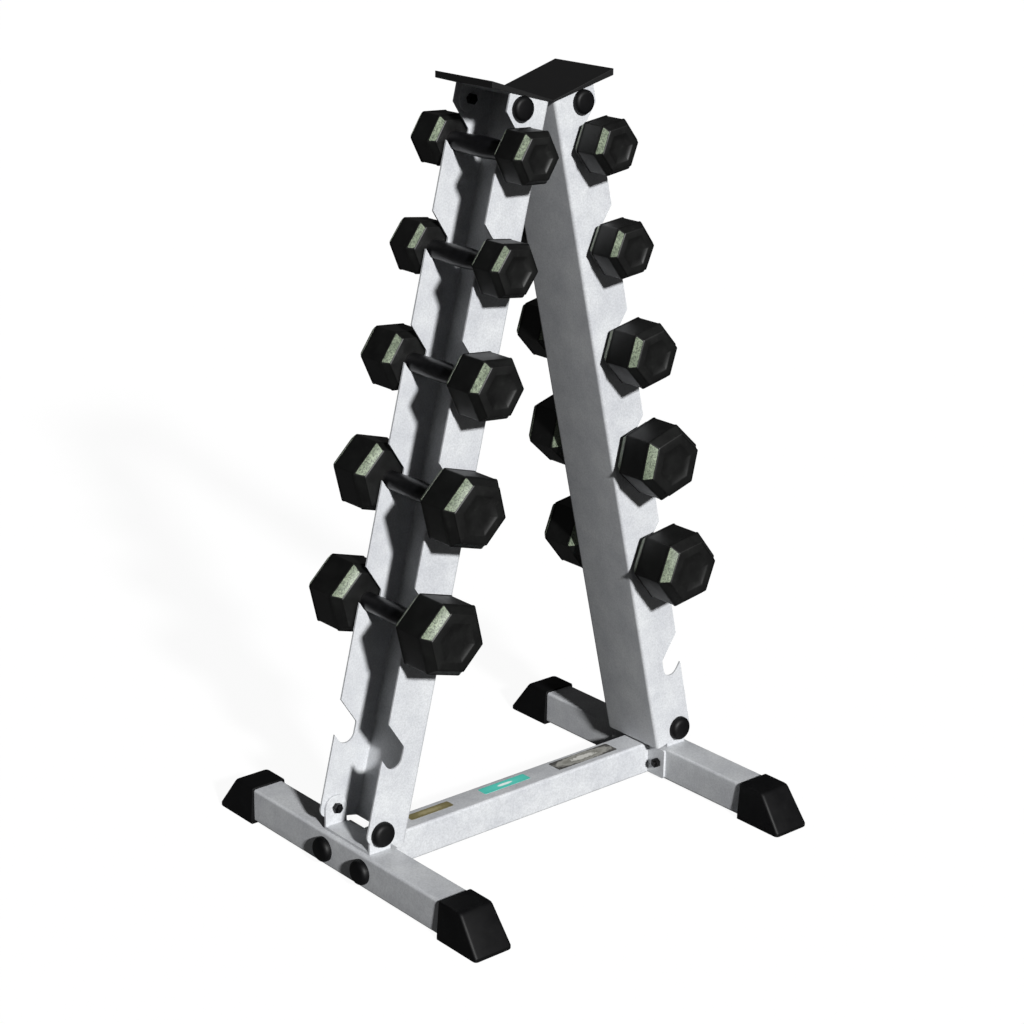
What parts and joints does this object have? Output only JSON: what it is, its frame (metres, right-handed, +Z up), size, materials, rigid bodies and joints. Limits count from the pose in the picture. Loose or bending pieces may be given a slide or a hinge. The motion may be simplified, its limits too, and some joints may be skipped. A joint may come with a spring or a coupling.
{
  "type": "dumbbell rack",
  "caption": "A-frame rack with two leaning notched channels, a V tray on top, tube feet and hex rubber dumbbells resting in its notches.",
  "frame": {"origin": "on the floor under the middle of the rack", "axes": "+Z up, +X along the crossbar to the right leg, +Y along the foot tubes to the rear"},
  "size_m": [0.6344, 0.586, 1.0783],
  "materials": {
    "silver_powder_coat": "satin",
    "black_powder_coat": "satin",
    "black_plastic": "matte",
    "black_oxide_steel": "satin",
    "black_plated_handle": "satin",
    "cast_iron_core": "rough",
    "black_rubber": "matte"
  },
  "bodies": {
    "rack": {"left_leg_channel": "silver_powder_coat", "left_foot_tube": "silver_powder_coat", "left_foot_bracket": "silver_powder_coat", "left_top_bracket": "silver_powder_coat", "left_crossbar_plate": "silver_powder_coat", "left_front_foot_boot": "black_plastic", "left_rear_foot_boot": "black_plastic", "left_leg_bolts": "black_oxide_steel", "left_leg_nuts": "black_oxide_steel", "left_leg_bolt_caps": "black_plastic", "left_crossbar_bolts": "black_oxide_steel", "left_crossbar_nuts": "black_oxide_steel", "left_crossbar_bolt_caps": "black_plastic", "right_leg_channel": "silver_powder_coat", "right_foot_tube": "silver_powder_coat", "right_foot_bracket": "silver_powder_coat", "right_top_bracket": "silver_powder_coat", "right_crossbar_plate": "silver_powder_coat", "right_front_foot_boot": "black_plastic", "right_rear_foot_boot": "black_plastic", "right_leg_bolts": "black_oxide_steel", "right_leg_nuts": "black_oxide_steel", "right_leg_bolt_caps": "black_plastic", "right_crossbar_bolts": "black_oxide_steel", "right_crossbar_nuts": "black_oxide_steel", "right_crossbar_bolt_caps": "black_plastic", "crossbar_tube": "silver_powder_coat", "top_tray": "black_powder_coat"},
    "left_dumbbell_1": {"left_dumbbell_1_handle": "black_plated_handle", "left_dumbbell_1_iron_cores": "cast_iron_core", "left_dumbbell_1_rubber_heads": "black_rubber"},
    "left_dumbbell_2": {"left_dumbbell_2_handle": "black_plated_handle", "left_dumbbell_2_iron_cores": "cast_iron_core", "left_dumbbell_2_rubber_heads": "black_rubber"},
    "left_dumbbell_3": {"left_dumbbell_3_handle": "black_plated_handle", "left_dumbbell_3_iron_cores": "cast_iron_core", "left_dumbbell_3_rubber_heads": "black_rubber"},
    "left_dumbbell_4": {"left_dumbbell_4_handle": "black_plated_handle", "left_dumbbell_4_iron_cores": "cast_iron_core", "left_dumbbell_4_rubber_heads": "black_rubber"},
    "left_dumbbell_5": {"left_dumbbell_5_handle": "black_plated_handle", "left_dumbbell_5_iron_cores": "cast_iron_core", "left_dumbbell_5_rubber_heads": "black_rubber"},
    "right_dumbbell_1": {"right_dumbbell_1_handle": "black_plated_handle", "right_dumbbell_1_iron_cores": "cast_iron_core", "right_dumbbell_1_rubber_heads": "black_rubber"},
    "right_dumbbell_2": {"right_dumbbell_2_handle": "black_plated_handle", "right_dumbbell_2_iron_cores": "cast_iron_core", "right_dumbbell_2_rubber_heads": "black_rubber"},
    "right_dumbbell_3": {"right_dumbbell_3_handle": "black_plated_handle", "right_dumbbell_3_iron_cores": "cast_iron_core", "right_dumbbell_3_rubber_heads": "black_rubber"},
    "right_dumbbell_4": {"right_dumbbell_4_handle": "black_plated_handle", "right_dumbbell_4_iron_cores": "cast_iron_core", "right_dumbbell_4_rubber_heads": "black_rubber"},
    "right_dumbbell_5": {"right_dumbbell_5_handle": "black_plated_handle", "right_dumbbell_5_iron_cores": "cast_iron_core", "right_dumbbell_5_rubber_heads": "black_rubber"}
  },
  "joints": [
    {"name": "left_dumbbell_1_lift", "type": "slide", "parent": "rack", "child": "left_dumbbell_1", "axis": [-0.5678, 0, 0.8231], "range_m": [0, 0.2]},
    {"name": "left_dumbbell_2_lift", "type": "slide", "parent": "rack", "child": "left_dumbbell_2", "axis": [-0.5678, 0, 0.8231], "range_m": [0, 0.2]},
    {"name": "left_dumbbell_3_lift", "type": "slide", "parent": "rack", "child": "left_dumbbell_3", "axis": [-0.5678, 0, 0.8231], "range_m": [0, 0.2]},
    {"name": "left_dumbbell_4_lift", "type": "slide", "parent": "rack", "child": "left_dumbbell_4", "axis": [-0.5678, 0, 0.8231], "range_m": [0, 0.2]},
    {"name": "left_dumbbell_5_lift", "type": "slide", "parent": "rack", "child": "left_dumbbell_5", "axis": [-0.5678, 0, 0.8231], "range_m": [0, 0.2]},
    {"name": "right_dumbbell_1_lift", "type": "slide", "parent": "rack", "child": "right_dumbbell_1", "axis": [0.5678, 0, 0.8231], "range_m": [0, 0.2]},
    {"name": "right_dumbbell_2_lift", "type": "slide", "parent": "rack", "child": "right_dumbbell_2", "axis": [0.5678, 0, 0.8231], "range_m": [0, 0.2]},
    {"name": "right_dumbbell_3_lift", "type": "slide", "parent": "rack", "child": "right_dumbbell_3", "axis": [0.5678, 0, 0.8231], "range_m": [0, 0.2]},
    {"name": "right_dumbbell_4_lift", "type": "slide", "parent": "rack", "child": "right_dumbbell_4", "axis": [0.5678, 0, 0.8231], "range_m": [0, 0.2]},
    {"name": "right_dumbbell_5_lift", "type": "slide", "parent": "rack", "child": "right_dumbbell_5", "axis": [0.5678, 0, 0.8231], "range_m": [0, 0.2]}
  ]
}
